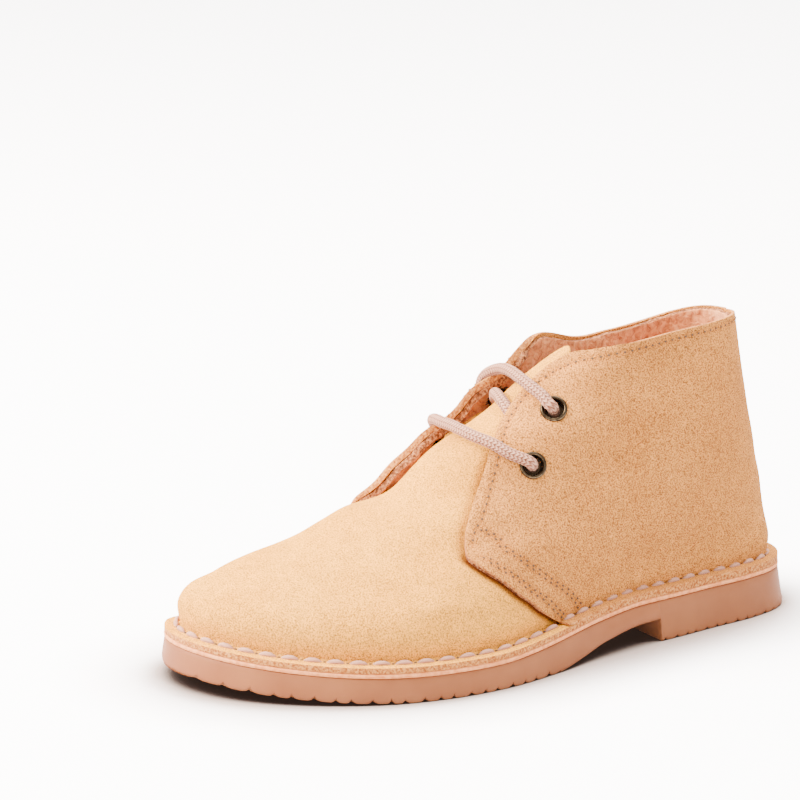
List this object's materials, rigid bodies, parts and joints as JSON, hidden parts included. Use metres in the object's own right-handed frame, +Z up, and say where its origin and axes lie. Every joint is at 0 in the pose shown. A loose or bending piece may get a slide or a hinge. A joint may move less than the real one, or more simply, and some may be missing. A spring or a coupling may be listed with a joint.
{
  "type": "chukka boot",
  "caption": "Low suede ankle boot for the left foot: stitchdown vamp and quarters, open lacing with brass eyelets, ripple rubber sole with a low heel.",
  "frame": {"origin": "middle of the boot across and along, on the ground that the sole stands on", "axes": "+Z up, -Y towards the toe, +X towards the outer side of the foot"},
  "size_m": [0.0963, 0.2574, 0.1166],
  "materials": {
    "suede": "napped suede",
    "rubber": "matt",
    "midsole_rubber": "matt",
    "insole_sock": "matt",
    "antique_brass": "dark antique",
    "lace_cord": "braided"
  },
  "bodies": {
    "root": {"outsole": "rubber", "midsole": "midsole_rubber", "insole": "insole_sock", "upper": "suede", "tongue": "suede", "eyelet_lateral_lower": "antique_brass", "eyelet_lateral_upper": "antique_brass", "eyelet_medial_lower": "antique_brass", "eyelet_medial_upper": "antique_brass", "lace_bars": "lace_cord"}
  },
  "joints": []
}
